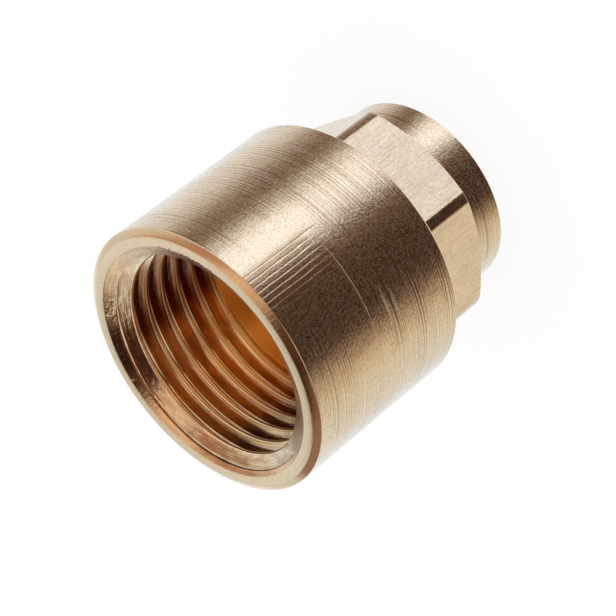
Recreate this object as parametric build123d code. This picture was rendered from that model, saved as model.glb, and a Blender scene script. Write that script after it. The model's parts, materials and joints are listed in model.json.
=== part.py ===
"""Female threaded solder adapter for 15 mm copper tube and a half-inch pipe thread.

The fitting is turned from one piece of red brass and stands on its solder socket. The origin is the
centre of the socket's end face, and +Z runs along the axis towards the threaded mouth. From the
bottom up the outside is the thin-walled solder socket, the hexagonal wrench section and the wide
round body that holds the female thread. Inside, both bores meet at a short waterway, whose edge
on the socket side stops the tube. Every length is in millimetres.
"""
from build123d import *
import os
from math import radians, tan

# Whole fitting
OVERALL_LENGTH = 28.0

# Threaded body
BODY_DIAMETER = 24.8
BODY_LENGTH = 17.5
BODY_REAR_EDGE_BREAK = 0.25
MOUTH_CHAMFER_WIDTH = 0.64

# Half-inch parallel pipe thread: the groove itself is a finish, so the bore is its crest diameter
THREAD_MAJOR_DIAMETER = 20.955
THREAD_MINOR_DIAMETER = 18.631
THREAD_DEPTH = 11.8
COUNTERSINK_MARGIN = 0.42

# Relief groove behind the thread, where the threading tool runs out
RELIEF_WIDTH = 2.4
RELIEF_CLEARANCE = 0.15

# Wrench section: hexagon flats on a turned step, which leaves a narrow land at each corner
WRENCH_ACROSS_FLATS = 18.7
WRENCH_CORNER_DIAMETER = 21.0
WRENCH_LAND_LENGTH = 6.1

# Solder socket
TUBE_DIAMETER = 15.0
SOLDER_GAP = 0.05
SOCKET_WALL = 1.2
SOCKET_DEPTH = 10.8
SOCKET_LEAD_IN = 0.3
SOCKET_END_EDGE_BREAK = 0.15

# Waterway and the shoulder that stops the tube
TUBE_STOP_WIDTH = 1.05

# All wide chamfers are turned with the same tool, which leans this far from the end faces
TOOL_ANGLE = 30.0

# Distance that cutters run past the faces they open through
OVERRUN = 1.0


def tool_depth(width):
    """Axial depth of a chamfer of this radial width, cut with the chamfering tool."""
    return width * tan(radians(TOOL_ANGLE))


def revolved(profile):
    """Turn a closed profile of (radius, height) points once around the Z axis."""
    face = make_face(Polyline(*[(radius, 0, height) for radius, height in profile], close=True))
    return revolve(face, axis=Axis.Z, revolution_arc=360)


def socket_radius():
    """Outer radius of the solder socket: tube, solder gap and wall."""
    return TUBE_DIAMETER / 2 + SOLDER_GAP + SOCKET_WALL


def solder_socket():
    """Thin-walled cylinder around the tube, from its end face up into the body."""
    outer = socket_radius()
    return revolved([
        (0, 0),
        (outer - SOCKET_END_EDGE_BREAK, 0),
        (outer, SOCKET_END_EDGE_BREAK),
        (outer, OVERALL_LENGTH - BODY_LENGTH + OVERRUN),
        (0, OVERALL_LENGTH - BODY_LENGTH + OVERRUN),
    ])


def wrench_section():
    """Turned step with a sloping rear face, cut to a hexagon: the slope bows each flat's rear edge."""
    corner = WRENCH_CORNER_DIAMETER / 2
    inner = socket_radius()
    top = OVERALL_LENGTH - BODY_LENGTH
    land_end = top - WRENCH_LAND_LENGTH
    step = revolved([
        (0, land_end - tool_depth(corner - inner)),
        (inner, land_end - tool_depth(corner - inner)),
        (corner, land_end),
        (corner, top + OVERRUN),
        (0, top + OVERRUN),
    ])
    hexagon = RegularPolygon(WRENCH_ACROSS_FLATS / 2, side_count=6, major_radius=False)
    return step & extrude(hexagon, amount=OVERALL_LENGTH)


def threaded_body():
    """Wide round body with its rear edge broken and its mouth chamfered."""
    outer = BODY_DIAMETER / 2
    rear = OVERALL_LENGTH - BODY_LENGTH
    mouth_edge = OVERALL_LENGTH - tool_depth(MOUTH_CHAMFER_WIDTH)
    return revolved([
        (0, rear),
        (outer - BODY_REAR_EDGE_BREAK, rear),
        (outer, rear + BODY_REAR_EDGE_BREAK),
        (outer, mouth_edge),
        (outer - MOUTH_CHAMFER_WIDTH, OVERALL_LENGTH),
        (0, OVERALL_LENGTH),
    ])


def tube_bore():
    """Solder bore with its lead-in, from below the end face to the shoulder that stops the tube."""
    bore = TUBE_DIAMETER / 2 + SOLDER_GAP
    return revolved([
        (0, -OVERRUN),
        (bore + SOCKET_LEAD_IN + OVERRUN, -OVERRUN),
        (bore, SOCKET_LEAD_IN),
        (bore, SOCKET_DEPTH),
        (0, SOCKET_DEPTH),
    ])


def waterway():
    """Round passage through the web between the two bores."""
    passage = TUBE_DIAMETER / 2 + SOLDER_GAP - TUBE_STOP_WIDTH
    return revolved([
        (0, SOCKET_DEPTH - OVERRUN),
        (passage, SOCKET_DEPTH - OVERRUN),
        (passage, OVERALL_LENGTH - THREAD_DEPTH),
        (0, OVERALL_LENGTH - THREAD_DEPTH),
    ])


def thread_bore():
    """Bore at the thread's crests, with the relief groove below it and the countersink at the mouth."""
    crest = THREAD_MINOR_DIAMETER / 2
    relief = THREAD_MAJOR_DIAMETER / 2 + RELIEF_CLEARANCE
    countersink = THREAD_MAJOR_DIAMETER / 2 + COUNTERSINK_MARGIN
    thread_end = OVERALL_LENGTH - THREAD_DEPTH
    relief_end = thread_end - RELIEF_WIDTH
    return revolved([
        (0, relief_end),
        (relief, relief_end),
        (relief, thread_end),
        (crest, thread_end),
        (crest, OVERALL_LENGTH - tool_depth(countersink - crest)),
        (countersink + OVERRUN, OVERALL_LENGTH + tool_depth(OVERRUN)),
        (0, OVERALL_LENGTH + tool_depth(OVERRUN)),
    ])


def adapter():
    """The whole fitting as one solid."""
    outside = threaded_body() + wrench_section() + solder_socket()
    return outside - tube_bore() - waterway() - thread_bore()


os.makedirs("parts", exist_ok=True)
export_step(adapter(), "parts/adapter.step")
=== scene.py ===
# %% [markdown]
# # Female threaded solder adapter
# A short pipe fitting, turned from one bar of red brass. It stands on its solder socket, and its
# threaded mouth looks up. The solid model gives the sizes; this script cuts the thread, gives the
# metal its turned finish and sets up the small studio around it.

import bmesh
import bpy
import json
from math import cos, pi, radians, sin, sqrt, tan
from mathutils import Matrix, Vector


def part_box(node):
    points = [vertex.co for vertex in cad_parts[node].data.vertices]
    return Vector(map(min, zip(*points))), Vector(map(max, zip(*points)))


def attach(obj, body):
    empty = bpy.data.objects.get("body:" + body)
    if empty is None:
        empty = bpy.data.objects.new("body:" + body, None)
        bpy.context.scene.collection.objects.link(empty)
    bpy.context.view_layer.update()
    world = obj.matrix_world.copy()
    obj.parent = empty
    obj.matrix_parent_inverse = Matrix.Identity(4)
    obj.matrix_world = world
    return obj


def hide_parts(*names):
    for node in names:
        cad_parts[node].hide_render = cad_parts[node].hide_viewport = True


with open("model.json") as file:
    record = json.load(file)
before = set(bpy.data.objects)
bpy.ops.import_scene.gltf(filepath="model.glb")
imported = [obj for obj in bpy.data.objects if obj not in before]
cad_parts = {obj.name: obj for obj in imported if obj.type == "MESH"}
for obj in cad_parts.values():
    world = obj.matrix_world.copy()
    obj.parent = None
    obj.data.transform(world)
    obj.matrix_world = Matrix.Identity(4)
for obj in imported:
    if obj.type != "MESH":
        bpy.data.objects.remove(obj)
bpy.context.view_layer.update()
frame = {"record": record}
mounts = {mount["name"]: mount for mount in frame["record"]["mounts"]}
low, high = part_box("adapter")
print("solid box in mm:", [round(side * 1000, 3) for side in (*low, *high)])

# %% [markdown]
# ## Sizes
# Blender's small-distance limits suit objects about a metre across, and this fitting is under 3 cm.
# So the adapter is modelled in millimetres and brought to metres in one last step. The length and
# both bores are read from the solid model, and the other sizes repeat it.

# %% Sizes in millimetres
LENGTH = (high.z - low.z) * 1000
BODY_RADIUS = 12.4
BODY_REAR = LENGTH - 17.5
REAR_BREAK = 0.25
MOUTH_CHAMFER = 0.64
THREAD_MAJOR_DIAMETER = 20.955
CREST_RADIUS = mounts["female_thread"]["dims"]["r_mm"]
ROOT_RADIUS = THREAD_MAJOR_DIAMETER / 2
THREAD_END = LENGTH - 11.8
RELIEF_RADIUS = ROOT_RADIUS + 0.15
RELIEF_END = THREAD_END - 2.4
COUNTERSINK_RADIUS = ROOT_RADIUS + 0.42
CORNER_RADIUS = 10.5
LAND_END = BODY_REAR - 6.1
ACROSS_FLATS = 18.7
FLATS_APOTHEM = ACROSS_FLATS / 2
SOCKET_OUTSIDE = 8.75
SOCKET_BORE = mounts["solder_socket"]["dims"]["r_mm"]
SOCKET_LEAD_IN = 0.3
SOCKET_BREAK = 0.15
TUBE_STOP = 10.8
WATERWAY_RADIUS = SOCKET_BORE - 1.05
TOOL_ANGLE = radians(30)
SLOPE = tan(TOOL_ANGLE)
print("crest", CREST_RADIUS, "root", ROOT_RADIUS, "socket bore", SOCKET_BORE)

# %% [markdown]
# ## Turned shapes
# A lathe makes every surface by turning one outline around the axis, and the spin operator does
# the same. The outline is a flat face whose corners are rounded by a vertex bevel, because a real
# corner is never perfectly sharp and the tiny round is what catches the light. The face is then
# deleted and only its edges are spun, which leaves a closed shell.


# %% Turning an outline into a closed shell
STEPS = 240
MERGE_DISTANCE = 0.0005


def new_object(name, bm):
    mesh = bpy.data.meshes.new(name)
    bm.to_mesh(mesh)
    bm.free()
    made = bpy.data.objects.new(name, mesh)
    bpy.context.scene.collection.objects.link(made)
    return made


def rounded_outline(bm, corners):
    """Adds a face from (radius, height, round) corners, and rounds each corner by its own amount."""
    verts = [bm.verts.new((radius, 0, height)) for radius, height, _ in corners]
    bm.faces.new(verts)
    for amount in sorted({corner[2] for corner in corners if corner[2]}):
        chosen = [vert for vert, corner in zip(verts, corners) if corner[2] == amount]
        bmesh.ops.bevel(bm, geom=chosen, affect="VERTICES", offset_type="OFFSET", offset=amount,
                        segments=3, profile=0.5, material=-1)


def turned(name, corners):
    bm = bmesh.new()
    rounded_outline(bm, corners)
    bmesh.ops.delete(bm, geom=bm.faces[:], context="FACES_ONLY")
    bmesh.ops.spin(bm, geom=bm.verts[:] + bm.edges[:], cent=(0, 0, 0), axis=(0, 0, 1), dvec=(0, 0, 0),
                   angle=2 * pi, steps=STEPS, use_merge=True, use_duplicate=False)
    bmesh.ops.remove_doubles(bm, verts=bm.verts[:], dist=MERGE_DISTANCE)
    bmesh.ops.recalc_face_normals(bm, faces=bm.faces[:])
    return new_object(name, bm)


# %% [markdown]
# ## The turned blank
# The blank has every turned surface except the thread: socket, wrench step with its 30 degree
# slope, body, and the bores. The bore above the relief groove starts a little too small, because
# the thread is cut through it later and leaves its own crests.

# %% The blank
EDGE = 0.06
FINE_EDGE = 0.04
BODY_EDGE = 0.08
START_BORE = CREST_RADIUS - 0.4
blank = turned("blank", [
    (SOCKET_BORE + SOCKET_LEAD_IN, 0, EDGE),
    (SOCKET_OUTSIDE - SOCKET_BREAK, 0, FINE_EDGE),
    (SOCKET_OUTSIDE, SOCKET_BREAK, FINE_EDGE),
    (SOCKET_OUTSIDE, LAND_END - (CORNER_RADIUS - SOCKET_OUTSIDE) * SLOPE, 0),
    (CORNER_RADIUS, LAND_END, 0.05),
    (CORNER_RADIUS, BODY_REAR, 0),
    (BODY_RADIUS - REAR_BREAK, BODY_REAR, BODY_EDGE),
    (BODY_RADIUS, BODY_REAR + REAR_BREAK, BODY_EDGE),
    (BODY_RADIUS, LENGTH - MOUTH_CHAMFER * SLOPE, EDGE),
    (BODY_RADIUS - MOUTH_CHAMFER, LENGTH, EDGE),
    (COUNTERSINK_RADIUS, LENGTH, EDGE),
    (START_BORE, LENGTH - (COUNTERSINK_RADIUS - START_BORE) * SLOPE, 0),
    (START_BORE, THREAD_END, 0),
    (RELIEF_RADIUS, THREAD_END, 0.1),
    (RELIEF_RADIUS, RELIEF_END, 0.15),
    (WATERWAY_RADIUS, RELIEF_END, EDGE),
    (WATERWAY_RADIUS, TUBE_STOP, EDGE),
    (SOCKET_BORE, TUBE_STOP, 0.1),
    (SOCKET_BORE, SOCKET_LEAD_IN, FINE_EDGE),
])
print("blank:", len(blank.data.vertices), "points,", len(blank.data.polygons), "faces")

# %% [markdown]
# ## The thread
# The thread is a half-inch parallel pipe thread: 55 degree flanks, 1.814 mm from one turn to the
# next. A tap leaves the shape of a male thread behind, so this cutter is that male shape. Its
# outline covers exactly one pitch, and a spin with a small rise per step sweeps it into a sheet
# whose turns meet edge to edge. Two flat cuts and two filled holes close the sheet into a plug.

# %% The thread cutter
PITCH = 1.814
CREST_FLAT = 0.302
FLANK_RISE = (ROOT_RADIUS - CREST_RADIUS) * tan(radians(27.5))
THREAD_ROUND = 0.12
TURNS = 10
GROOVE_START = radians(197.5)


def thread_plug():
    bm = bmesh.new()
    flank_start, flank_end = CREST_FLAT / 2, CREST_FLAT / 2 + FLANK_RISE
    outline = [(CREST_RADIUS, 0), (CREST_RADIUS, flank_start), (ROOT_RADIUS, flank_end),
               (ROOT_RADIUS, PITCH - flank_end), (CREST_RADIUS, PITCH - flank_start), (CREST_RADIUS, PITCH)]
    verts = [bm.verts.new((radius, 0, height)) for radius, height in outline]
    for below, above in zip(verts, verts[1:]):
        bm.edges.new((below, above))
    bmesh.ops.bevel(bm, geom=verts[1:5:3], affect="VERTICES", offset_type="OFFSET",
                    offset=THREAD_ROUND, segments=4, profile=0.5, material=-1)
    at_root = [vert for vert in bm.verts if vert.co.x > ROOT_RADIUS - 1e-4]
    bmesh.ops.bevel(bm, geom=at_root, affect="VERTICES", offset_type="OFFSET",
                    offset=THREAD_ROUND, segments=3, profile=0.5, material=-1)
    lowest = LENGTH - PITCH * (TURNS - 1.5)
    bmesh.ops.translate(bm, verts=bm.verts[:], vec=(0, 0, lowest))
    bmesh.ops.rotate(bm, verts=bm.verts[:], cent=(0, 0, 0), matrix=Matrix.Rotation(GROOVE_START, 3, "Z"))
    bmesh.ops.spin(bm, geom=bm.verts[:] + bm.edges[:], cent=(0, 0, 0), axis=(0, 0, 1),
                   dvec=(0, 0, PITCH / STEPS), angle=2 * pi, steps=STEPS, use_merge=False,
                   use_duplicate=False)
    one_turn = bm.verts[:] + bm.edges[:] + bm.faces[:]
    for turn in range(1, TURNS):
        copied = bmesh.ops.duplicate(bm, geom=one_turn)["geom"]
        raised = [item for item in copied if isinstance(item, bmesh.types.BMVert)]
        bmesh.ops.translate(bm, verts=raised, vec=(0, 0, PITCH * turn))
    bmesh.ops.remove_doubles(bm, verts=bm.verts[:], dist=0.001)
    for height, clear in ((RELIEF_END + 1.2, "inner"), (LENGTH + 0.5, "outer")):
        bmesh.ops.bisect_plane(bm, geom=bm.verts[:] + bm.edges[:] + bm.faces[:], dist=1e-5,
                               plane_co=(0, 0, height), plane_no=(0, 0, 1),
                               clear_inner=clear == "inner", clear_outer=clear == "outer")
    bmesh.ops.holes_fill(bm, edges=[edge for edge in bm.edges if edge.is_boundary], sides=0)
    bmesh.ops.recalc_face_normals(bm, faces=bm.faces[:])
    return new_object("thread_plug", bm)


plug = thread_plug()
print("thread plug:", len(plug.data.vertices), "points,", len(plug.data.polygons), "faces")

# %% [markdown]
# ## The wrench flats
# The flats are milled on the turned step. The cutter is a hexagonal ring: it takes away whatever
# stands outside the six flats and stops at the body's rear face. The step's slope then bows the
# rear edge of every flat by itself, as it does on the real fitting.


# %% The flats' cutter
CUTTER_RADIUS = 15
CUTTER_FOOT = 2


def flats_cutter():
    bm = bmesh.new()
    bmesh.ops.create_circle(bm, cap_ends=True, cap_tris=False, segments=6, radius=CUTTER_RADIUS)
    ring_width = CUTTER_RADIUS * cos(pi / 6) - FLATS_APOTHEM
    bmesh.ops.inset_region(bm, faces=bm.faces[:], thickness=ring_width, use_boundary=True,
                           use_even_offset=True)
    middle = [face for face in bm.faces if face.calc_center_median().length < 0.01]
    bmesh.ops.delete(bm, geom=middle, context="FACES")
    bmesh.ops.rotate(bm, verts=bm.verts[:], cent=(0, 0, 0), matrix=Matrix.Rotation(pi / 6, 3, "Z"))
    raised = bmesh.ops.extrude_face_region(bm, geom=bm.faces[:])
    moved = [item for item in raised["geom"] if isinstance(item, bmesh.types.BMVert)]
    bmesh.ops.translate(bm, verts=moved, vec=(0, 0, BODY_REAR - CUTTER_FOOT))
    bmesh.ops.translate(bm, verts=bm.verts[:], vec=(0, 0, CUTTER_FOOT))
    bmesh.ops.recalc_face_normals(bm, faces=bm.faces[:])
    return new_object("flats_cutter", bm)


cutter = flats_cutter()
print("flats cutter:", [round(v, 3) for v in cutter.dimensions])

# %% [markdown]
# ## Cutting
# Both cutters are taken from the blank with the Boolean modifier, one after the other, and each
# result is kept as the adapter's mesh. Points closer than half a micrometre are merged, and the
# shell is measured: its open edges are counted and printed.


# %% Cutting the flats and the thread
def settle(target):
    """Keeps the mesh that the modifiers make, and takes the modifiers off."""
    depsgraph = bpy.context.evaluated_depsgraph_get()
    result = bpy.data.meshes.new_from_object(target.evaluated_get(depsgraph))
    target.modifiers.clear()
    target.data = result


def cut(target, tool):
    cutting = target.modifiers.new("cut", "BOOLEAN")
    cutting.operation = "DIFFERENCE"
    cutting.solver = "MANIFOLD"
    cutting.object = tool
    settle(target)
    bpy.data.objects.remove(tool)


adapter = blank
adapter.name = "threaded_adapter"
cut(adapter, cutter)
cut(adapter, plug)
bm = bmesh.new()
bm.from_mesh(adapter.data)
bmesh.ops.remove_doubles(bm, verts=bm.verts[:], dist=MERGE_DISTANCE)
open_edges = sum(1 for edge in bm.edges if not edge.is_manifold)
print("open edges after cutting:", open_edges, "volume mm3:", round(bm.calc_volume(), 1))

# %% [markdown]
# ## From millimetres to metres
# The shell is scaled to metres and takes the solid adapter's place. Edges sharper than 35 degrees
# stay sharp. Weighted normals keep the wide faces flat, and leave the bend of the light to the
# small rounds at the edges.

# %% The adapter in metres
bmesh.ops.scale(bm, vec=(0.001, 0.001, 0.001), verts=bm.verts[:])
bm.to_mesh(adapter.data)
bm.free()
adapter.data.shade_smooth()
adapter.data.set_sharp_from_angle(angle=radians(35))
weighting = adapter.modifiers.new("even_shading", "WEIGHTED_NORMAL")
weighting.mode = "FACE_AREA"
weighting.weight = 100
weighting.keep_sharp = True
settle(adapter)
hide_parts("adapter")
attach(adapter, "root")
print("adapter:", len(adapter.data.polygons), "faces")

# %% [markdown]
# ## Where each finish lies
# Every cutting tool leaves its own marks, so the skin is sorted by the tool that made it: the
# turned outside, the faced ends, the milled flats, the countersink, the thread and the bores.
# Each face is sorted by its place and by the way it looks, both taken from the mesh.

# %% Sorting the faces by finish
FINISHES = ["turned_outside", "faced_ends", "milled_flats", "mouth_chamfers", "cut_thread", "bored_inside"]
BELOW_COUNTERSINK = 1.4


def finish_of(face):
    """Names the finish of a face, from its place in millimetres and the way it looks."""
    centre, normal = face.center * 1000, face.normal
    radius = sqrt(centre.x ** 2 + centre.y ** 2)
    outward = (centre.x * normal.x + centre.y * normal.y) / radius
    if normal.z > 0.9 and centre.z > LENGTH - 0.05 or normal.z < -0.9:
        return "faced_ends"
    if outward > 0:
        if centre.z > LENGTH - MOUTH_CHAMFER * SLOPE - 0.03:
            return "mouth_chamfers"
        on_flat = abs(outward * radius - FLATS_APOTHEM) < 0.02 and abs(normal.z) < 0.1
        on_wrench_step = centre.z < BODY_REAR and radius < CORNER_RADIUS - 0.01
        return "milled_flats" if on_flat and on_wrench_step else "turned_outside"
    if centre.z > LENGTH - BELOW_COUNTERSINK and abs(normal.z - cos(TOOL_ANGLE)) < 0.01:
        return "mouth_chamfers"
    return "cut_thread" if centre.z > THREAD_END - 0.01 else "bored_inside"


sorted_faces = [FINISHES.index(finish_of(face)) for face in adapter.data.polygons]
print({name: sorted_faces.count(place) for place, name in enumerate(FINISHES)})

# %% [markdown]
# ## A bare metal
# Each finish starts as a bare metal that knows where it is: height, angle and radius around the
# axis, in millimetres and degrees, taken from the object's own coordinates, so every mark keeps
# its true size. A lathe's marks run around the axis, and the radial tangent stretches the shine
# across them. The methods for sums add one node per call and join it up, so a formula in the code
# reads in the same order as the nodes it makes.


# %% A bare metal
class BareMetal:
    """A metal with the measures that its marks are laid out by."""

    def __init__(self, name, colour, roughness, anisotropy=0.0):
        self.material = bpy.data.materials.new(name)
        self.material.use_nodes = True
        self.nodes, self.links = self.material.node_tree.nodes, self.material.node_tree.links
        self.shader = self.nodes["Principled BSDF"]
        self.shader.inputs["Base Color"].default_value = (*colour, 1)
        self.shader.inputs["Metallic"].default_value = 1
        self.shader.inputs["Roughness"].default_value = roughness
        self.shader.inputs["Anisotropic"].default_value = anisotropy
        place = self.nodes.new("ShaderNodeTexCoord")
        parts = self.nodes.new("ShaderNodeSeparateXYZ")
        self.links.new(place.outputs["Object"], parts.inputs[0])
        self.x, self.y, self.height = (self.times(parts.outputs[axis], 1000) for axis in "XYZ")
        self.angle = self.times(self.math("ARCTAN2", self.y, self.x), 180 / pi)
        self.radius = self.math("SQRT", self.plus(self.times(self.x, self.x), self.times(self.y, self.y)))
        if anisotropy:
            tangent = self.nodes.new("ShaderNodeTangent")
            tangent.direction_type, tangent.axis = "RADIAL", "Z"
            self.links.new(tangent.outputs[0], self.shader.inputs["Tangent"])
            self.shader.inputs["Anisotropic Rotation"].default_value = 0.25

    def join(self, values, sockets):
        """Sets each socket to its number, or links it to its node output."""
        for value, socket in zip(values, sockets):
            if isinstance(value, (int, float)):
                socket.default_value = value
            else:
                self.links.new(value, socket)

    def math(self, operation, *values):
        node = self.nodes.new("ShaderNodeMath")
        node.operation = operation
        self.join(values, node.inputs)
        return node.outputs[0]

    def times(self, first, *others):
        for other in others:
            first = self.math("MULTIPLY", first, other)
        return first

    def plus(self, first, *others):
        for other in others:
            first = self.math("ADD", first, other)
        return first


print("bare metal knows:", "height, angle and radius")

# %% [markdown]
# ## Patterns on the metal
# Marks are built from two things: soft windows, which say where a mark is, and noise, which makes
# it uneven. A window over the angle picks one side of the fitting, from a start to an end in
# degrees. Noise that changes quickly along one measure and slowly along the others is drawn out
# into lines, which is how grooves, strokes and rings are made.


# %% Patterns on the metal
class PatternedMetal(BareMetal):
    """A metal with soft windows and noise to lay out its marks."""

    def ramp(self, value, start, end, low=0.0, high=1.0):
        """Goes smoothly from low to high while value goes from start to end."""
        node = self.nodes.new("ShaderNodeMapRange")
        node.interpolation_type = "SMOOTHSTEP"
        self.join((value, start, end, low, high), node.inputs)
        return node.outputs[0]

    def window(self, value, start, end, soft):
        """1 between start and end and 0 outside, with soft edges."""
        opening = self.ramp(value, start - soft, start + soft)
        return self.times(opening, self.ramp(value, end - soft, end + soft, 1, 0))

    def line_noise(self, value, scale, detail=1):
        """Noise from 0 to 1 along a single measure; scale counts its cells per millimetre or degree."""
        node = self.nodes.new("ShaderNodeTexNoise")
        node.noise_dimensions = "1D"
        self.join((value, scale, detail), [node.inputs[name] for name in ("W", "Scale", "Detail")])
        return node.outputs[0]

    def noise(self, across, along, detail=2, roughness=0.5, measure=None):
        """Noise from 0 to 1 in space: cells per millimetre across, and along the height or a measure."""
        where = self.nodes.new("ShaderNodeCombineXYZ")
        height = self.height if measure is None else measure
        self.join((self.times(self.x, across), self.times(self.y, across), self.times(height, along)),
                  where.inputs)
        node = self.nodes.new("ShaderNodeTexNoise")
        self.join((where.outputs[0], 1, detail, roughness),
                  [node.inputs[name] for name in ("Vector", "Scale", "Detail", "Roughness")])
        return node.outputs[0]


print("patterns:", "ramp, window, line noise and noise")

# %% [markdown]
# ## Working the surface
# A pattern can work on the surface in three ways: as relief in millimetres, as a change in how
# rough the skin is, and as a tint, where the metal is tarnished or dirty.


# %% Working the surface
class Finish(PatternedMetal):
    """A metal whose patterns carve, roughen and tint it."""

    def carve(self, *millimetres):
        """Uses the sum of height maps in millimetres as the surface's relief."""
        bump = self.nodes.new("ShaderNodeBump")
        bump.inputs["Strength"].default_value = 1
        bump.inputs["Distance"].default_value = 0.001
        self.links.new(self.plus(*millimetres), bump.inputs["Height"])
        self.links.new(bump.outputs[0], self.shader.inputs["Normal"])

    def vary_roughness(self, value, start, end, low, high):
        """Goes from a smooth to a rougher skin while value goes from start to end."""
        self.links.new(self.ramp(value, start, end, low, high), self.shader.inputs["Roughness"])

    def tint(self, share, colour):
        """Mixes the metal's colour towards another by a share from 0 to 1."""
        metal = self.shader.inputs["Base Color"]
        node = self.nodes.new("ShaderNodeMix")
        node.data_type = "RGBA"
        node.inputs["A"].default_value = metal.default_value
        for link in metal.links:
            self.links.new(link.from_socket, node.inputs["A"])
        node.inputs["B"].default_value = (*colour, 1)
        self.links.new(share, node.inputs["Factor"])
        self.links.new(node.outputs["Result"], metal)


print("a finish can:", "carve, vary the roughness and tint")

# %% [markdown]
# ## Colours of the metal
# Red brass is pale and slightly brown where it was turned some time ago, more orange where the cut
# is fresh, and brown in its grooves. The darkest brown is a dark reflection painted on the outer chamfer.

# %% Colours of the metal
SKIN = (0.76, 0.615, 0.41)
FRESH_CUT = (0.82, 0.55, 0.30)
THREAD_CUT = (0.98, 0.77, 0.48)
MILLED = (0.87, 0.70, 0.47)
BORED = (0.92, 0.58, 0.24)
GROOVE_BROWN = (0.36, 0.22, 0.12)
# A dark reflection, painted into the outer chamfer's colour.
PAINTED_DARK_REFLECTION = (0.28, 0.105, 0.035)
print("metal colours:", SKIN, FRESH_CUT, THREAD_CUT, MILLED, BORED)

# %% [markdown]
# ## The lathe's grooves
# A lathe tool leaves one fine groove per turn of the bar, here about a quarter of a millimetre
# apart. On a real fitting they are not even: the bar chatters, so some groups are deeper, and they
# fade where the metal is worn, and near the mouth, where it is rubbed. A sine wave over the height
# makes the grooves, line noise shifts it a little, and windows and noise set its depth.

# %% The lathe's grooves
FEED = 0.27
DEEP_GROUPS = ((10.6, 11.9), (14.1, 15.3), (16.8, 18.2))
CHATTERED_SIDE = (-148, -126)
WORN_SIDE = (-128, -100)
RUBBED_SIDE = (-99, -78)


def feed_grooves(skin, along):
    """Depth of the lathe's grooves, and the wave that they follow."""
    uneven = skin.plus(along, skin.times(skin.line_noise(along, 1.3), 0.5))
    wave = skin.math("SINE", skin.times(uneven, 2 * pi / FEED))
    groups = skin.ramp(skin.line_noise(along, 0.9), 0.42, 0.62, 0.6, 1)
    places = skin.ramp(skin.noise(0.14, 0.25, 1, measure=along), 0.40, 0.6, 0.35, 1)
    depth = skin.times(groups, places)
    chattered = skin.window(skin.angle, *CHATTERED_SIDE, 8)
    for rear, front in DEEP_GROUPS:
        depth = skin.plus(depth, skin.times(skin.window(skin.height, rear, front, 0.3), chattered))
    worn = skin.times(skin.window(skin.angle, *WORN_SIDE, 10), -0.55)
    rubbed = skin.times(skin.window(skin.angle, *RUBBED_SIDE, 5), skin.ramp(skin.height, 18, 22), -0.8)
    return skin.times(depth, skin.plus(worn, 1), skin.plus(rubbed, 1)), wave


print("one groove each", FEED, "mm, and", len(DEEP_GROUPS), "deep groups")

# %% [markdown]
# ## Scratches and a scribed line
# A strip of lengthwise scratches starts at the mouth, evenly spaced and a little wavy, and two
# short marks cross them. A scribed double line runs part of the way around the body. The scratches
# are a sine wave over the angle, and the other marks are narrow windows over the height.

# %% Scratches and a scribed line
SCRATCH_DEGREES = 2.4
STRIP_SIDE = (-109, -90)
SCRIBED_SIDE = (-166, -98)


def scratched_strip(skin):
    """Where the strip of scratches lies, from the mouth down to uneven heights."""
    reach = skin.plus(skin.height, skin.times(skin.line_noise(skin.angle, 0.7, 0), 4))
    fading = skin.times(skin.ramp(skin.angle, -112, -100, 0.3, 1), skin.ramp(reach, 21.6, 23.2))
    return skin.times(skin.window(skin.angle, *STRIP_SIDE, 1.5), fading)


def lengthwise_scratches(skin):
    """Straight scratches at even distances, each a little wavy."""
    wavy = skin.plus(skin.angle, skin.times(skin.noise(0.5, 0.2), 1.2))
    spaced = skin.math("SINE", skin.times(wavy, 2 * pi / SCRATCH_DEGREES))
    return skin.ramp(spaced, 0.4, 0.95)


def scribed_line(skin):
    """A fine scribed line with a fainter one beside it."""
    second = skin.times(skin.window(skin.height, 20.16, 20.18, 0.015), 0.4)
    both = skin.plus(skin.window(skin.height, 19.95, 19.98, 0.015), second)
    return skin.times(both, skin.window(skin.angle, *SCRIBED_SIDE, 5))


def slips(skin):
    """Two short marks across the ends of the scratches, where the scriber slipped."""
    lower = skin.times(skin.window(skin.height, 20.4, 20.5, 0.03), skin.window(skin.angle, -96.5, -91, 0.5))
    upper = skin.times(skin.window(skin.height, 21.8, 21.9, 0.03), skin.window(skin.angle, -97.5, -93, 0.5))
    return skin.plus(lower, upper)


print("one scratch each", SCRATCH_DEGREES, "degrees")

# %% [markdown]
# ## The turned outside
# These marks are at most a few hundredths of a millimetre deep, so the material carries them, and
# the mesh stays a clean turned shape. The grooves are tinted darker brown, the scratches are
# bright with fresh metal, and the skin between them is brown. A fine grain makes the whole skin
# uneven, and the narrow lands at the wrench section's corners are a little darker.

# %% The turned outside
GRAIN_BROWN = (0.50, 0.27, 0.15)
BRIGHT_LINE = (1.0, 0.88, 0.68)


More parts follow.
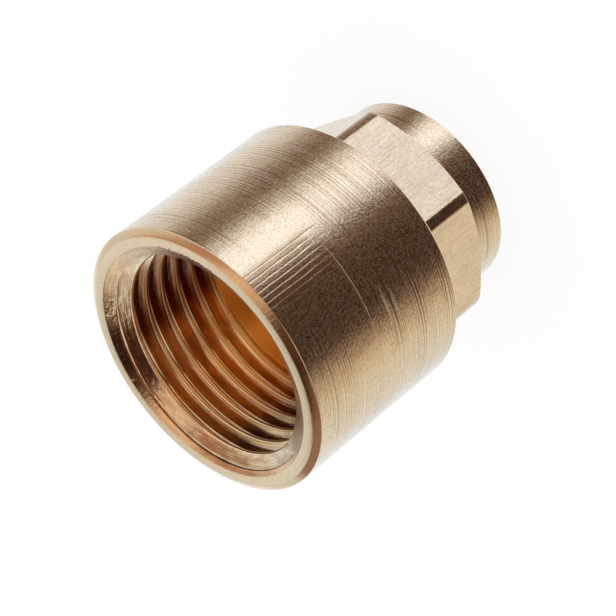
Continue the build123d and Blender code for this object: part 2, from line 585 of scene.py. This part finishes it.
def turned_outside():
    skin = Finish("turned_outside", SKIN, 0.24, 0.7)
    along = skin.plus(skin.height, skin.radius)
    depth, wave = feed_grooves(skin, along)
    tearing = skin.times(skin.plus(skin.line_noise(along, 5), -0.5), 2)
    grooves = skin.times(skin.plus(wave, tearing), depth)
    strip, line = scratched_strip(skin), scribed_line(skin)
    scratches = skin.times(strip, lengthwise_scratches(skin))
    grain = skin.noise(4.6, 4.6, 3, 0.72)
    skin.carve(skin.times(grooves, 0.006), skin.times(line, -0.007), skin.times(scratches, -0.010),
               skin.times(grain, 0.024), skin.times(skin.noise(0.35, 0.35), 0.06))
    skin.vary_roughness(grain, 0.46, 0.62, 0.2, 0.25)
    skin.tint(skin.times(skin.ramp(wave, -0.1, -0.8), depth, 0.6), GROOVE_BROWN)
    skin.tint(skin.times(skin.ramp(grain, 0.52, 0.36), 0.5), GRAIN_BROWN)
    skin.tint(skin.times(skin.plus(strip, skin.times(scratches, -1)), 0.6), GROOVE_BROWN)
    skin.tint(skin.times(scratches, 0.7), FRESH_CUT)
    land = skin.window(skin.radius, CORNER_RADIUS - 0.06, CORNER_RADIUS + 0.06, 0.02)
    skin.tint(skin.times(land, skin.ramp(skin.height, BODY_REAR, BODY_REAR - 0.1), 0.4), GROOVE_BROWN)
    skin.tint(skin.plus(skin.times(line, 0.2), skin.times(slips(skin), 0.4)), BRIGHT_LINE)
    return skin.material


finishes = {"turned_outside": turned_outside()}
print("turned_outside:", len(finishes["turned_outside"].node_tree.nodes), "nodes")

# %% [markdown]
# ## The faced ends
# Facing moves the tool across the end of the bar, so its rings lie around the axis and are spaced
# by radius instead of height. They are fainter than on the outside, because facing is a light cut.
# Part of the ring's inner edge has small dark nicks.

# %% The faced ends
DULL_SPOTS = (0.45, 0.33, 0.2)
NICK_BLACK = (0.12, 0.06, 0.03)
NICKED_SIDE = (-80, -44)


def faced_ends():
    skin = Finish("faced_ends", SKIN, 0.26, 0.6)
    rings = skin.noise(0.1, 7, measure=skin.radius)
    grain = skin.noise(4, 4, 3, 0.6)
    skin.carve(skin.times(rings, 0.012), skin.times(grain, 0.02))
    skin.tint(skin.times(skin.ramp(grain, 0.5, 0.3), 0.25), DULL_SPOTS)
    inner_edge = skin.ramp(skin.radius, COUNTERSINK_RADIUS + 0.22, COUNTERSINK_RADIUS + 0.02, 0, 0.22)
    nicked = skin.times(skin.window(skin.angle, *NICKED_SIDE, 5), inner_edge)
    nicks = skin.ramp(skin.plus(skin.noise(2.6, 2.6, 3, 0.7), nicked), 0.66, 0.72)
    skin.tint(skin.times(nicks, skin.ramp(nicked, 0.02, 0.08), 0.65), NICK_BLACK)
    return skin.material


finishes["faced_ends"] = faced_ends()
print("faced_ends:", len(finishes["faced_ends"].node_tree.nodes), "nodes")

# %% [markdown]
# ## The milled flats
# A side mill brushes the flats lengthwise and leaves them matt and lightly mottled. There is no
# turning here, so the shine isn't stretched; the strokes are noise drawn out along the height.

# %% The milled flats
CLOUDED = (0.70, 0.55, 0.42)
BRUSHED = (0.60, 0.43, 0.27)
MOTTLED = (0.56, 0.37, 0.21)


def milled_flats():
    skin = Finish("milled_flats", MILLED, 0.3)
    strokes = skin.noise(5, 0.4)
    grain = skin.noise(3.2, 3.2, 5, 0.75)
    clouds = skin.noise(0.6, 0.6)
    skin.carve(skin.times(strokes, 0.008), skin.times(grain, 0.03))
    skin.tint(skin.times(skin.ramp(clouds, 0.6, 0.35), 0.35), CLOUDED)
    skin.tint(skin.times(skin.ramp(strokes, 0.52, 0.3), 0.4), BRUSHED)
    skin.tint(skin.times(skin.ramp(grain, 0.58, 0.3), 0.5), MOTTLED)
    return skin.material


finishes["milled_flats"] = milled_flats()
print("milled_flats:", len(finishes["milled_flats"].node_tree.nodes), "nodes")

# %% [markdown]
# ## The mouth's chamfers
# The chamfer outside the mouth and the countersink inside are cut last, by the same tool, so the
# metal is fresh and orange. The tool chatters a little around the rim. On one side of the
# countersink it has torn out a few chips, and part of that side is tinted nearly black. On the far
# side of the countersink, brown shade is painted in. Cutting fluid has dried in patches. A dark
# reflection is painted on one side of the outer chamfer, and more faintly in two patches beside it.

# %% Dried patches of fluid
PATCH_BROWN = (0.46, 0.25, 0.13)


def dried_patches(skin):
    return skin.noise(0.7, 2, 2, 0.6, measure=skin.radius)


print("dried patches:", PATCH_BROWN)

# %% The mouth's chamfers
MOUTH_SPECKS = (0.40, 0.22, 0.10)
CHIP_SHADE = (0.22, 0.11, 0.06)
NEAR_BLACK = (0.14, 0.075, 0.045)
# Brown shade painted on the countersink's far side.
FAR_SIDE_PAINTED_SHADE = (0.34, 0.2, 0.09)
CHIPPED_SIDE = (16, 62)
NEAR_BLACK_SIDE = (33, 58)
FAR_SIDE = -165
FAINT_PAINTED_REFLECTIONS = ((-152, -127, 0.6), (-110, -94, 0.3))


def mouth_chamfers():
    skin = Finish("mouth_chamfers", FRESH_CUT, 0.22, 0.5)
    rings = skin.noise(0.15, 6, measure=skin.radius)
    chatter = skin.line_noise(skin.angle, 0.55, 2)
    grain = skin.noise(3, 3, 3, 0.6)
    inside = skin.ramp(skin.radius, COUNTERSINK_RADIUS + 0.15, COUNTERSINK_RADIUS - 0.05)
    blackened = skin.times(skin.window(skin.angle, *NEAR_BLACK_SIDE, 7), inside)
    chipped = skin.times(skin.window(skin.angle, *CHIPPED_SIDE, 4), inside)
    chips = skin.times(skin.ramp(skin.noise(1.1, 1.1, 2, 0.5), 0.42, 0.7), chipped)
    skin.carve(skin.times(rings, 0.012), skin.times(chatter, 0.005), skin.times(grain, 0.014),
               skin.times(chips, 0.045))
    skin.tint(skin.times(skin.ramp(grain, 0.45, 0.3), 0.2), MOUTH_SPECKS)
    skin.tint(skin.times(skin.ramp(dried_patches(skin), 0.44, 0.56), inside, 0.3), PATCH_BROWN)
    skin.tint(skin.times(chips, 0.35), CHIP_SHADE)
    # Part of the countersink's inner edge on one side is tinted nearly black.
    skin.tint(skin.times(blackened, 0.8), NEAR_BLACK)
    # Painted shade: the countersink's far side is tinted brown.
    past_far_side = skin.math("WRAP", skin.plus(skin.angle, -FAR_SIDE), 180, -180)
    skin.tint(skin.times(skin.window(past_far_side, -18, 8, 7), inside, 0.85), FAR_SIDE_PAINTED_SHADE)
    # Painted dark reflection: the outer chamfer is darkened on the side towards FAR_SIDE.
    far_x, far_y = cos(radians(FAR_SIDE)), sin(radians(FAR_SIDE))
    toward = skin.plus(skin.times(skin.x, far_x), skin.times(skin.y, far_y))
    side = skin.ramp(skin.math("DIVIDE", toward, skin.radius), 0.85, 0.95)
    outside = skin.ramp(skin.radius, COUNTERSINK_RADIUS + 0.15, COUNTERSINK_RADIUS + 0.35)
    skin.tint(skin.times(side, outside, 0.95), PAINTED_DARK_REFLECTION)
    # Two fainter patches of the same painted dark reflection on the outer chamfer.
    for start, end, share in FAINT_PAINTED_REFLECTIONS:
        skin.tint(skin.times(skin.window(skin.angle, start, end, 5), outside, share), PAINTED_DARK_REFLECTION)
    return skin.material


finishes["mouth_chamfers"] = mouth_chamfers()
print("mouth_chamfers:", len(finishes["mouth_chamfers"].node_tree.nodes), "nodes")

# %% [markdown]
# ## The thread's flanks
# The tap drags fine lines along the helix, and the stains of the fluid follow it too. The height
# minus the lead so far is the same along one turn of the groove, so noise on that measure follows
# the helix by itself. Brown shade is painted towards the roots, and a red-brown shade is painted on
# one side of the bore. The crests are golden and a little rough, with a small uneven burr.

# %% The thread's flanks
DRAWN_BROWN = (0.46, 0.28, 0.13)
STAIN_BROWN = (0.36, 0.19, 0.08)
THREAD_SPECKS = (0.42, 0.2, 0.1)
ROOT_PAINTED_SHADE = (0.50, 0.30, 0.14)
CREST_GOLD = (1.0, 0.72, 0.38)
# Red-brown shade painted on one side of the bore.
SIDE_PAINTED_SHADE = (0.31, 0.115, 0.05)
SHADED_SIDE = (0, 50)


def cut_thread():
    skin = Finish("cut_thread", THREAD_CUT, 0.13)
    helix = skin.plus(skin.height, skin.times(skin.angle, -PITCH / 360))
    drawn = skin.noise(0.1, 7, 2, 0.6, measure=skin.plus(helix, skin.radius))
    grain = skin.noise(2.4, 2.4, 4, 0.6)
    at_crest = skin.ramp(skin.radius, CREST_RADIUS + 0.16, CREST_RADIUS + 0.04)
    burr = skin.times(skin.line_noise(skin.angle, 0.8), at_crest)
    patches, mouth = dried_patches(skin), skin.ramp(skin.height, LENGTH - 2.6, LENGTH - 1.4)
    skin.carve(skin.times(drawn, 0.012), skin.times(grain, 0.008), skin.times(burr, 0.02),
               skin.times(patches, skin.plus(skin.times(mouth, 0.03), 0.015)))
    skin.tint(skin.times(skin.ramp(drawn, 0.52, 0.34), 0.55), DRAWN_BROWN)
    stains = skin.ramp(skin.noise(0.3, 1.1, measure=helix), 0.48, 0.34)
    skin.tint(skin.times(stains, 0.5), STAIN_BROWN)
    skin.tint(skin.times(skin.ramp(grain, 0.5, 0.3), 0.15), THREAD_SPECKS)
    # Painted shade: the flanks turn browner towards the roots.
    toward_root = skin.ramp(skin.radius, CREST_RADIUS + 0.1, ROOT_RADIUS - 0.4)
    skin.tint(skin.times(toward_root, 0.3), ROOT_PAINTED_SHADE)
    skin.vary_roughness(at_crest, 0, 1, 0.14, 0.3)
    skin.tint(skin.times(at_crest, 0.85), CREST_GOLD)
    # Painted shade: one side of the bore is tinted red-brown, fading out towards the mouth.
    below_mouth = skin.ramp(skin.height, LENGTH - 1.5, LENGTH - 2.4, 0.25, 1)
    skin.tint(skin.times(skin.window(skin.angle, *SHADED_SIDE, 8), below_mouth, 0.9), SIDE_PAINTED_SHADE)
    skin.tint(skin.times(skin.ramp(patches, 0.46, 0.56), mouth, 0.4), PATCH_BROWN)
    return skin.material


finishes["cut_thread"] = cut_thread()
print("cut_thread:", len(finishes["cut_thread"].node_tree.nodes), "nodes")

# %% [markdown]
# ## The bores
# The relief groove, the waterway and the solder bore are turned inside, with faint rings. Light
# reaches them only after it has met brass several times, which makes them a deep golden orange.


# %% The bores
def bored_inside():
    skin = Finish("bored_inside", BORED, 0.25)
    skin.carve(skin.times(skin.line_noise(skin.plus(skin.height, skin.radius), 4, 2), 0.01))
    return skin.material


finishes["bored_inside"] = bored_inside()
print("bored_inside:", len(finishes["bored_inside"].node_tree.nodes), "nodes")

# %% [markdown]
# ## Putting the finishes on
# The adapter gets the six finishes as material slots, and every face points at the slot of the
# tool that cut it.

# %% Putting the finishes on
adapter.data.materials.clear()
for name in FINISHES:
    adapter.data.materials.append(finishes[name])
adapter.data.polygons.foreach_set("material_index", sorted_faces)
print("slots:", [material.name for material in adapter.data.materials])

# %% [markdown]
# ## Floor and soft light
# The fitting stands on a round sheet of white paper under an even white sky, as in a product
# studio. Most of the paper's light is its own, and only for the camera: the sheet then looks
# white without more light on the brass, and it keeps a soft shadow. Reflections don't see the
# paper: the light tent, which is hung in a later step, has a pale base of its own for them.


# %% Floor and soft light
BACKLIT_SHARE = 0.88
PAPER_RADIUS = 1.5


def white_world():
    world = bpy.data.worlds.new("studio")
    world.use_nodes = True
    world.node_tree.nodes["Background"].inputs["Color"].default_value = (1, 1, 1, 1)
    world.node_tree.nodes["Background"].inputs["Strength"].default_value = 1
    return world


def white_paper():
    paper = bpy.data.materials.new("white_paper")
    paper.use_nodes = True
    nodes, links = paper.node_tree.nodes, paper.node_tree.links
    sheet = nodes["Principled BSDF"]
    for name, value in (("Base Color", (1, 1, 1, 1)), ("Roughness", 1), ("Specular IOR Level", 0)):
        sheet.inputs[name].default_value = value
    backlit = nodes.new("ShaderNodeEmission")
    share = nodes.new("ShaderNodeMath")
    share.operation = "MULTIPLY"
    share.inputs[1].default_value = BACKLIT_SHARE
    links.new(nodes.new("ShaderNodeLightPath").outputs["Is Camera Ray"], share.inputs[0])
    blend = nodes.new("ShaderNodeMixShader")
    links.new(share.outputs[0], blend.inputs["Fac"])
    links.new(sheet.outputs["BSDF"], blend.inputs[1])
    links.new(backlit.outputs["Emission"], blend.inputs[2])
    links.new(blend.outputs["Shader"], nodes["Material Output"].inputs["Surface"])
    return paper


bpy.context.scene.world = white_world()
bm = bmesh.new()
bmesh.ops.create_circle(bm, cap_ends=True, segments=96, radius=PAPER_RADIUS)
floor = new_object("floor", bm)
floor.data.materials.append(white_paper())
floor.visible_glossy = False
print("floor radius in metres:", round(floor.dimensions.x / 2, 3))

# %% [markdown]
# ## The light tent
# Polished metal shows whatever stands around it, so a product studio wraps it in a tent of pale
# cloth with dark and warm cards. This tent is a large sphere that only reflections can see: it
# paints the bright and dark bands on the brass and adds no light of its own to the scene.
#
# The cards are laid out by direction. A low ring of cards, by azimuth from the camera, is what an
# upright cylinder shows. A high ring, by tilt to the left or right, is what the mouth's chamfers
# and the upward flanks of the thread show.

# %% The tent's cloth
CAMERA_AZIMUTH = -105.7
TENT_RADIUS = 3000
COOL, GLOW = (1.05, 1.16, 1.3), (1.56, 1.75, 2.1)
DARK, BROWN = (0.04, 0.016, 0.009), (0.21, 0.135, 0.10)
SHADE, DUSK, TAN = (0.07, 0.03, 0.02), (0.16, 0.1, 0.07), (0.9, 0.76, 0.68)
HAZE = (0.45, 0.38, 0.36)

bm = bmesh.new()
bmesh.ops.create_uvsphere(bm, u_segments=48, v_segments=24, radius=TENT_RADIUS / 1000)
bmesh.ops.reverse_faces(bm, faces=bm.faces[:])
tent = new_object("light_tent", bm)
cloth = Finish("tent_cloth", (1, 1, 1), 1)
cloth.nodes.remove(cloth.shader)
glow = cloth.nodes.new("ShaderNodeEmission")
cloth.links.new(glow.outputs[0], cloth.nodes["Material Output"].inputs["Surface"])


def cards(degrees, table):
    """Colours laid out along an angle from -180 to 180 degrees, each with its own angle."""
    node = cloth.nodes.new("ShaderNodeValToRGB")
    node.color_ramp.interpolation = "EASE"
    cloth.links.new(cloth.math("DIVIDE", cloth.plus(degrees, 180), 360), node.inputs[0])
    elements = node.color_ramp.elements
    elements.remove(elements[1])
    for number, (place, colour) in enumerate(table):
        card = elements.new((place + 180) / 360) if number else elements[0]
        card.position = (place + 180) / 360
        card.color = (*colour, 1)
    return node.outputs[0]


def blended(share, first, second):
    """Goes from the first colour to the second as the share goes from 0 to 1."""
    node = cloth.nodes.new("ShaderNodeMix")
    node.data_type = "RGBA"
    cloth.links.new(share, node.inputs["Factor"])
    for name, colour in (("A", first), ("B", second)):
        if isinstance(colour, tuple):
            node.inputs[name].default_value = (*colour, 1)
        else:
            cloth.links.new(colour, node.inputs[name])
    return node.outputs["Result"]


print("tent radius in metres:", round(tent.dimensions.x / 2, 3))

# %% [markdown]
# ## The low ring of cards
# From the left of the camera to its right: pale cloth, then a wide dark card that makes the
# cylinder's dark band, a narrow bright lamp for its highlight, a brown card for the soft second
# band, and pale cloth again. Far above and below that ring the same cards are paler and plainer.

# %% The low ring of cards
azimuth = cloth.math("WRAP", cloth.plus(cloth.angle, -CAMERA_AZIMUTH), 180, -180)
slant = cloth.times(cloth.math("ARCSINE", cloth.times(cloth.height, 1 / TENT_RADIUS)), 180 / pi)
ring = cards(azimuth, [
    (-180, COOL), (-150, COOL), (-140, (0.92, 1.02, 1.08)), (-116, (0.96, 1.0, 1.02)),
    (-92, (0.92, 0.9, 0.82)), (-76, (0.78, 0.66, 0.52)), (-66, (0.45, 0.33, 0.24)), (-56, SHADE),
    (-50, DARK), (-10, DARK), (10, (0.15, 0.09, 0.065)), (20, (0.26, 0.19, 0.15)), (30, GLOW), (54, GLOW),
    (64, (0.9, 0.9, 0.92)), (72, BROWN), (92, BROWN), (108, (0.78, 0.75, 0.74)), (125, (0.95, 1.0, 1.08)),
    (150, COOL), (180, COOL)])
around_ring = cards(azimuth, [
    (-180, COOL), (-110, (0.8, 0.8, 0.8)), (-80, (0.5, 0.42, 0.36)), (-50, DUSK), (0, DUSK),
    (30, HAZE), (52, HAZE), (80, (0.28, 0.2, 0.16)), (120, (0.8, 0.8, 0.8)), (180, COOL)])
low_cards = blended(cloth.window(slant, -50, -17, 5), around_ring, ring)
print("low ring:", len(cloth.nodes), "nodes in the cloth so far")

# %% [markdown]
# ## The high ring of cards
# Tilt is the angle from straight up, to the left below zero and to the right above it. From left
# to right: cool cloth, a dark card for the shaded side of the mouth, a tan card for the warm near
# flanks, a brown one, and cool cloth again. Straight behind the fitting hangs a plain pale sheet,
# which the mouth's flat rim shows.

# %% The high ring of cards
facing = radians(CAMERA_AZIMUTH)
sideways = cloth.plus(cloth.times(cloth.x, -sin(facing)), cloth.times(cloth.y, cos(facing)))
toward_camera = cloth.plus(cloth.times(cloth.x, cos(facing) / TENT_RADIUS),
                           cloth.times(cloth.y, sin(facing) / TENT_RADIUS))
tilt = cloth.times(cloth.math("ARCTAN2", sideways, cloth.height), 180 / pi)
high_ring = cards(tilt, [
    (-180, COOL), (-66, (0.85, 0.9, 1.0)), (-60, (0.8, 0.95, 1.1)), (-44, (0.95, 1.08, 1.22)),
    (-38.5, (0.75, 0.79, 0.88)), (-35, (0.5, 0.43, 0.37)), (-32, (0.28, 0.2, 0.16)), (-28, SHADE),
    (-4, SHADE), (3, TAN), (19, TAN), (26, (0.50, 0.31, 0.25)), (37, (0.45, 0.29, 0.23)),
    (43, (0.70, 0.64, 0.56)), (49, (0.80, 0.84, 0.96)), (62, (0.75, 0.92, 1.12)), (85, COOL), (180, COOL)])
sheet_behind = blended(cloth.ramp(cloth.height, 900, 1500), (0.72, 0.85, 1.0), (1.06, 1.08, 1.1))
high_cards = blended(cloth.ramp(toward_camera, -0.82, -0.74), sheet_behind, high_ring)
print("high ring:", len(cloth.nodes), "nodes in the cloth so far")

# %% [markdown]
# ## Hanging the tent
# The two rings meet softly at the height of the floor. Straight below is plain white, because a
# real fitting reflects the paper it stands on. Camera, shadows and soft light pass through the
# tent, so it shows only in the metal.

# %% Hanging the tent
all_cards = blended(cloth.ramp(cloth.height, -300, 300), low_cards, high_cards)
with_base = blended(cloth.ramp(slant, -58, -66), all_cards, (1.3, 1.3, 1.3))
cloth.links.new(with_base, glow.inputs["Color"])
cloth.material.cycles.emission_sampling = "NONE"
tent.data.materials.append(cloth.material)
tent.visible_camera = tent.visible_diffuse = tent.visible_shadow = tent.visible_volume_scatter = False
print("tent cloth:", len(cloth.nodes), "nodes")

# %% [markdown]
# ## The camera
# A long lens from well above keeps the perspective gentle. The camera is rolled, so the upright
# fitting lies diagonally across the frame with its mouth towards the viewer. The lens is sharp
# everywhere.

# %% The camera
CAMERA_PLACE = (-0.05136, -0.18215, 0.14237)
BACKWARDS = Vector((-0.2184, -0.8037, 0.5535))
RIGHTWARDS = Vector((-0.7113, -0.2572, -0.6541))

camera_data = bpy.data.cameras.new("camera")
camera_data.sensor_width = 36
camera_data.lens = 160.75
camera_data.clip_start = 0.01
camera_data.clip_end = 20
camera = bpy.data.objects.new("camera", camera_data)
bpy.context.scene.collection.objects.link(camera)
back = BACKWARDS.normalized()
up = back.cross(RIGHTWARDS).normalized()
turn = Matrix((up.cross(back), up, back)).transposed().to_4x4()
camera.matrix_world = Matrix.Translation(CAMERA_PLACE) @ turn
bpy.context.scene.camera = camera
bpy.context.scene.view_settings.view_transform = "Standard"
bpy.context.scene.cycles.glossy_bounces = 8
print("camera at", [round(value, 3) for value in camera.matrix_world.translation])
